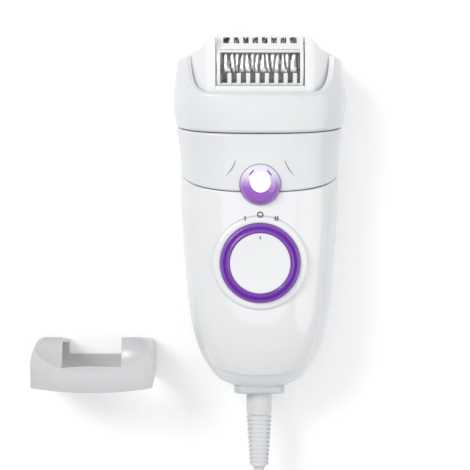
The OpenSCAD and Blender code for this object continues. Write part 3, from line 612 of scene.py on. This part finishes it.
def dome_slot(side, steps=8):
    """Slim mark beside the light, laid on the dome."""
    pts = []
    for i in range(steps + 1):
        u = i / steps
        x, y = side * (3.75 - 1.5 * u), 3.2 + 1.85 * u
        w = 0.24 * math.sin(math.pi * (0.1 + 0.8 * u)) ** 0.5
        for dx, depth in ((-w, 0.3), (-w, -0.02), (w, -0.02), (w, 0.3)):
            pts.append(on_dome(x + dx * 0.78, y + dx * 0.62 * side, depth))
    faces = [(4 * i + j, 4 * i + (j + 1) % 4, 4 * i + 4 + (j + 1) % 4, 4 * i + 4 + j)
             for i in range(steps) for j in range(4)]
    return [tuple(p) for p in pts], faces + [(3, 2, 1, 0), tuple(4 * steps + j for j in range(4))]


place(make("lens_slot_left", dome_slot(-1)), "button", "dial_purple")
place(make("lens_slot_right", dome_slot(1)), "button", "dial_purple")

# ---- Head: cartridge frame, tray and comb ----
WING = [(15, 31), (23.4, 31), (23.4, 38), (25.2, 43), (25.2, 54.4), (20.2, 56.8), (17.3, 60.6), (16.6, 61),
        (15, 61)]
IDLER_Y, CROSS_Y = 42.5, 34.4
SCREWS = [(x, z) for x in (-20.6, 20.6) for z in (12.4, 25.6)]


def inner_outline(y, inset, columns=120):
    """Cross-section of the head at height y as a prism's outline for along_y."""
    points = [skin(360 * j / columns, y, -inset) for j in range(columns)]
    return [(p.x, AXIS_Z - p.z) for p in points]


def wing(side):
    outline = [(side * x, y) for x, y in WING]
    body = make(f"wing_{'gear' if side > 0 else 'plain'}", prism(outline, 6.4, 31.6))
    core = make("wing_core", (prism(inner_outline(46, WALL + 1.2), 30, 62), along_y()))
    m = body.modifiers.new("round", "BOOLEAN")
    m.operation, m.solver, m.object = "INTERSECT", "EXACT", core
    bake(body)
    bpy.data.objects.remove(core)
    bevel(body, 0.7, 4, 28)
    lo, hi = sorted((side * 14.9, side * 18.2))
    lo2, hi2 = sorted((side * 14.9, side * 19.1))
    tools = [box((lo, 29 if side > 0 else 46, 10.2), (hi, 59, 27.8)), box((lo2, 48, 23), (hi2, 53, 27.8)),
             (rod(2.35, *sorted((side * 18, side * 22))), along_x()),
             (rod(1, *sorted((side * 18, side * 22)), 32), along_x(IDLER_Y)),
             (rod(1.05, *sorted((side * 14, side * 24)), 32), along_x(CROSS_Y)),
             (rod(0.8, 22, 30.2, 32), Matrix.Translation((side * 17, ROLLER_Y, 0)))]
    tools += [(rod(0.9, 30, 38.2, 32), along_y(x, z)) for x, z in SCREWS if x * side > 0]
    return cut(body, *tools)


place(wing(1), "head", "comb_white", "head_frame")
place(wing(-1), "head", "comb_white")
bars = make("cartridge_bars", *[box((-15.1, y0, z0), (15.1, y1, z1)) for y0, y1, z0, z1 in (
    (31, 36.2, 6.4, 10), (31, 36.2, 28, 31.6), (41.6, 44.5, 6.4, 8.1), (41.6, 44.5, 29.9, 31.6))])
place(bevel(bars, 0.4), "head", "comb_white")


def arc(x, width, r, thick, a0, a1, steps=None):
    """Curved bar about the roller axis, angles from the front direction towards the head's top."""
    steps = steps or max(2, round((a1 - a0) / 3))
    pts = []
    for i in range(steps + 1):
        a = math.radians(a0 + (a1 - a0) * i / steps)
        for q in (r, r + thick):
            for w in (-width / 2, width / 2):
                pts.append((x + w, ROLLER_Y + q * math.sin(a), q * math.cos(a)))
    faces = [(0, 1, 3, 2), tuple(4 * steps + k for k in (0, 2, 3, 1))]
    for i in range(steps):
        b = 4 * i
        faces += [(b, b + 4, b + 5, b + 1), (b + 2, b + 3, b + 7, b + 6), (b, b + 2, b + 6, b + 4),
                  (b + 1, b + 5, b + 7, b + 3)]
    return pts, faces


def facing(side):
    """Front or back half: mirrored through the plane of the roller axis."""
    return Matrix.Translation((0, 0, AXIS_Z)) @ Matrix.Diagonal((1, 1, side, 1))


TOOTH_STEP, LOWER_SHIFT = 3.15, 0.7
comb = []
for side in (1, -1):
    parts = [arc(s * 14, 1.2, 11.2, 1.3, -31, 61) for s in (-1, 1)]
    parts += [arc(s * 13.1, 1.4, 11.4, 0.8, 40, 60) for s in (-1, 1)]
    parts += [arc(0, 28.2, 11.3, 1, 25, 28.4), arc(0, 28.2, 11.3, 0.35, 28, 30.7),
              arc(0, 28.2, 11.3, 1, 30.1, 41.5)]
    parts += [arc(0, 28.2, 11.3, 1, -30, -26.5)]
    parts += [arc(i * TOOTH_STEP, 1.3, 11.4, 0.8, 40, 60) for i in range(-3, 4)]
    parts += [arc(LOWER_SHIFT + (i - 3.5) * TOOTH_STEP, 1.4, 11.4, 1.1, -29, -9) for i in range(8)]
    comb += [(p, facing(side)) for p in parts]
place(bevel(make("comb_bars", *comb), 0.2, 2, 50), "head", "comb_white", "comb_frame")

tray = make("head_floor", (prism(inner_outline(41, WALL + 0.15), 40.2, 41.7), along_y()))
cut(tray, box((-25.5, 39, 6.2), (25.5, 50, 31.8)))
place(tray, "head", "shell_white", "head_tray")
trough = make("roller_trough", *[(arc(0, 29.2, 11.4, 0.8, -72, -34), facing(s)) for s in (1, -1)])
place(bevel(trough, 0.2, 2, 50), "head", "shell_white")

# ---- Tweezer roller ----
ROWS, FIRST_ROW, PITCH, COUNT = 4, 15, 3.4, 3


def on_row(k):
    turn = Matrix.Rotation(-math.radians(FIRST_ROW + 360 * k / ROWS), 4, "X")
    return Matrix.Translation((0, ROLLER_Y, AXIS_Z)) @ turn


def blade(half, low, high, bend, thick=0.42, steps=10):
    """Steel plate standing on the roller, folded about its middle, with rounded ends."""
    pts = []
    for i in range(steps + 1):
        u = -1 + 2 * i / steps
        x = bend * (abs(u) - 0.5)
        top = high - 0.7 * abs(u) ** 4
        for w in (-thick / 2, thick / 2):
            pts += [(x + w, u * half, low), (x + w, u * half, top)]
    faces = [(0, 1, 3, 2), tuple(4 * steps + k for k in (0, 2, 3, 1))]
    for i in range(steps):
        b = 4 * i
        faces += [(b, b + 4, b + 5, b + 1), (b + 2, b + 3, b + 7, b + 6), (b, b + 2, b + 6, b + 4),
                  (b + 1, b + 5, b + 7, b + 3)]
    return pts, faces


PAIR_GAP, BACK_GAP, LIP_TOP, LIP_HALF = 0.46, 0.14, TIP_R - 0.5, 4.3


def lip(left, right, steps=12, thick=0.28, dish=0.42):
    """Flared outer edge of a blade between the lines x = left(u) and x = right(u).

    u runs from -1 to 1 along the row.
    """
    pts = []
    for i in range(steps + 1):
        u = -1 + 2 * i / steps
        y = u * LIP_HALF
        top = min(LIP_TOP, math.sqrt((TIP_R - 0.1) ** 2 - y * y))
        a, b = left(u), right(u)
        for x, drop in ((a, dish), (a + (b - a) * 0.3, dish * 0.35), (a + (b - a) * 0.62, 0),
                        (b, dish * 0.8)):
            pts += [(x, y, top - drop - thick), (x, y, top - drop)]
    faces = [(0, 1, 3, 2), (2, 3, 5, 4), (4, 5, 7, 6)]
    faces += [tuple(8 * steps + k for k in f[::-1]) for f in faces[:3]]
    for i in range(steps):
        b = 8 * i
        faces += [(b, b + 8, b + 9, b + 1), (b + 6, b + 7, b + 15, b + 14)]
        for k in (0, 2, 4):
            faces += [(b + k + 1, b + k + 9, b + k + 11, b + k + 3),
                      (b + k, b + k + 2, b + k + 10, b + k + 8)]
    return pts, faces


def border(k, j):
    """Line between two neighbouring blades of row k.

    j counts gaps, even where a pair closes and odd behind it.
    """
    middle = (j / 2) * PITCH * (1 if k % 2 == 0 else -1)
    if abs(j) > 2 * COUNT:
        return lambda u: math.copysign(END_BORDER, middle)
    slant = (0.55, -0.5, -0.35, 0.6, 0.2, -0.6, 0.45)[(j + 2 * k) % 7]
    bow = (0.1, -0.16, 0.2)[(j + k) % 3]
    return lambda u: middle + slant * u + bow * (u * u - 0.5)


def between_lines(k, j, half_gap_a, half_gap_b):
    """Lip between border j and border j + 1 of row k."""
    a, b = border(k, j), border(k, j + 1)
    if k % 2:
        return lip(lambda u: b(u) + half_gap_b, lambda u: a(u) - half_gap_a)
    return lip(lambda u: a(u) + half_gap_a, lambda u: b(u) - half_gap_b)


core = make("roller_body", (lathe([
    (1.2, -13.1), (9.2, -13.1), (9.4, -13), (9.4, -12.75), (9.2, -12.7), (CORE_R, -12.7), (CORE_R, 12.7),
    (9.2, 12.7), (9.4, 12.75), (9.4, 13), (9.2, 13.1), (1.2, 13.1)], 96), along_x()))
cut(core, *[(box((-14, -0.9, ROD_R - 0.9), (14, 0.9, CORE_R + 0.5)), on_row(k)) for k in range(ROWS)])
place(core, "roller", "inner_grey", "roller_core")
fixed, moving = [], {0: [], 1: []}
for k in range(ROWS):
    side = 1 if k % 2 == 0 else -1
    for i in range(-COUNT, COUNT + 1):
        lean = Matrix.Rotation(math.radians(8 if (i + k) % 2 == 0 else -8), 4, "Z")
        fixed.append((blade(3.3, CORE_R - 0.4, LIP_TOP - 0.35, 0.2 * side),
                      on_row(k) @ Matrix.Translation((i * PITCH + side * 0.85, 0, 0)) @ lean))
        fixed.append((between_lines(k, 2 * i * side, PAIR_GAP / 2, BACK_GAP / 2), on_row(k)))
        moving[k % 2].append((blade(3.1, CORE_R + 0.15, LIP_TOP - 0.35, -0.16 * side),
                              on_row(k) @ Matrix.Translation((i * PITCH - side * 0.9, 0, 0))))
        moving[k % 2].append((between_lines(k, 2 * i * side - 1, BACK_GAP / 2, PAIR_GAP / 2), on_row(k)))
        foot = i * PITCH - side * 0.9
        moving[k % 2].append((box((foot - 0.2, -0.7, ROD_R), (foot + 0.2, 0.7, CORE_R + 0.5)), on_row(k)))
    shift = Matrix.Translation((-side * 1.3, 0, ROD_R))
    moving[k % 2].append((box((-13.7, -0.75, -0.6), (13.7, 0.75, 0.7)), on_row(k) @ shift))
place(bevel(make("plates_fixed", *fixed), 0.05, 1, 50), "roller", "blade_steel", "fixed_blades")
place(bevel(make("plates_left", *moving[0]), 0.05, 1, 50), "left_blade_set", "blade_steel", "left_blades")
place(bevel(make("plates_right", *moving[1]), 0.05, 1, 50), "right_blade_set", "blade_steel", "right_blades")

# ---- Cap ----
CAP_W, CAP_L, CAP_D, CAP_WALL, NOTCH, NOTCH_LOW = 41.6, 19.4, 31, 1.4, 20.4, 8.6
CAP_AT = Vector((-57.6, -60.3, 0))
SLOPE = math.radians(10)


def cap_outline(inset, steps=12):
    """Half the outline, then the other half: curved mouth edge, straight sides and rounded towers."""
    w, top = CAP_W / 2 - inset, CAP_L - inset
    half = [(w * i / steps, 1.7 * (i / steps) ** 2) for i in range(1, steps + 1)]
    half += [(w, top - 9), (w - 0.6, top - 5.6), (w - 2.3, top - 1.8), (w - 5.2, top - 0.1), (w - 7.4, top)]
    return half + [(-x, y) for x, y in half[::-1]] + [(0, 0)]


def cap_scoop(grow, rings=48, sides=144):
    """Ellipsoid that hollows the front of the cap around its window."""
    pts, faces = [(0, 16.5, CAP_D + 6 + 11 + grow), (0, 16.5, CAP_D + 6 - 11 - grow)], []
    for i in range(1, rings):
        b = math.pi * i / rings
        for j in range(sides):
            a = math.tau * j / sides
            pts.append(((23.1 + grow) * math.sin(b) * math.cos(a),
                        16.5 + (11.2 + grow) * math.sin(b) * math.sin(a),
                        CAP_D + 6 + (11 + grow) * math.cos(b)))
    for j in range(sides):
        n = (j + 1) % sides
        faces += [(0, 2 + j, 2 + n), (1, 2 + (rings - 2) * sides + n, 2 + (rings - 2) * sides + j)]
        faces += [(2 + i * sides + j, 2 + (i + 1) * sides + j, 2 + (i + 1) * sides + n, 2 + i * sides + n)
                  for i in range(rings - 2)]
    return pts, faces


def above_cap(inset):
    """Everything beyond the cap's top, which slopes down towards the back."""
    tilt = Matrix.Translation((0, CAP_L - inset, CAP_D)) @ Matrix.Rotation(-SLOPE, 4, "X")
    return box((-30, 0, -50), (30, 20, 10)), tilt


cavity = make("cavity", prism([(x, y - 1) for x, y in cap_outline(CAP_WALL)], CAP_WALL, CAP_D - CAP_WALL))
cut(cavity, above_cap(CAP_WALL), cap_scoop(CAP_WALL))
cap = cut(make("guard_cap", prism(cap_outline(0), 0, CAP_D)), above_cap(0), cap_scoop(0))
hollow = cap.modifiers.new("hollow", "BOOLEAN")
hollow.operation, hollow.solver, hollow.object = "DIFFERENCE", "EXACT", cavity
bake(cap)
bpy.data.objects.remove(cavity)
cut(cap, box((-NOTCH / 2, NOTCH_LOW, -1), (NOTCH / 2, CAP_L + 1, CAP_D + 1)))
bevel(cap, 0.45, 3, 28)
cap.data.transform(Matrix.Translation(CAP_AT * MM))
place(cap, "cap", "cap_grey", "cap")

# ---- Everything that stays as the CAD made it gets its finish ----
slots = {s["node"]: s["material_slot"] for s in frame["record"]["subparts"]}
for name, obj in frame["nodes"].items():
    obj.data.materials.clear()
    obj.data.materials.append(FINISH[slots[name]])

# ---- Floor and light ----
floor = bpy.data.objects.new("floor", bpy.data.meshes.new("floor"))
floor.data.from_pydata([(-2.5, -2.5, -0.0003), (2.5, -2.5, -0.0003), (2.5, 2.5, -0.0003),
                        (-2.5, 2.5, -0.0003)], [], [(0, 1, 2, 3)])
bpy.context.scene.collection.objects.link(floor)
floor.data.materials.append(material("floor_white", (0.93, 0.93, 0.925), 0.7, bump=0.0, mottle=0.004,
                                     glow=(1, 1, 1, 0.14)))


def area_light(name, spot, size, power):
    lamp = bpy.data.lights.new(name, "AREA")
    lamp.shape, lamp.size, lamp.energy = "DISK", size, power
    obj = bpy.data.objects.new(name, lamp)
    bpy.context.scene.collection.objects.link(obj)
    obj.location = spot
    obj.rotation_euler = (Vector((0, -0.01, 0)) - Vector(spot)).to_track_quat("-Z", "Y").to_euler()


area_light("key", (-0.6, 0.5, 0.85), 0.5, 5.2)
area_light("fill", (0.9, -0.2, 0.8), 0.9, 2.7)
area_light("top", (0.0, 0.1, 1.5), 1.6, 6.8)
world = bpy.data.worlds.new("studio")
world.use_nodes = True
world.node_tree.nodes["Background"].inputs["Color"].default_value = (0.93, 0.95, 1.0, 1)
world.node_tree.nodes["Background"].inputs["Strength"].default_value = 0.45
bpy.context.scene.world = world
bpy.context.scene.view_settings.view_transform = "Standard"
